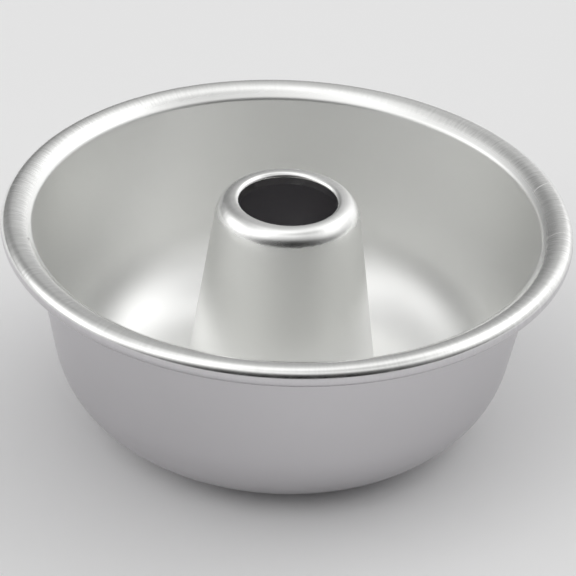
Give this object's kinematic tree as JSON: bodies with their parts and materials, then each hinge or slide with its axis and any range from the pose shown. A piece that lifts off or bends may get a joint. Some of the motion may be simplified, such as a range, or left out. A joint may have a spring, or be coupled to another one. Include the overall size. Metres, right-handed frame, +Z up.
{
  "type": "angel food cake pan",
  "caption": "Round aluminium cake pan with a rolled rim, leaning wall, large rounded corner and a tapered open centre tube that stands above the rim.",
  "frame": {"origin": "middle of the base, on the surface that the pan stands on", "axes": "+Z up along the axis of the tube; +X and +Y are alike, because the pan is round"},
  "size_m": [0.2, 0.2, 0.0844],
  "materials": {
    "bowl_aluminium": "satin, finely brushed around the axis",
    "tube_aluminium": "satin",
    "wire_steel": "drawn wire"
  },
  "bodies": {
    "root": {"pan_shell": "bowl_aluminium", "centre_tube": "tube_aluminium", "rim_wire": "wire_steel"}
  },
  "joints": []
}
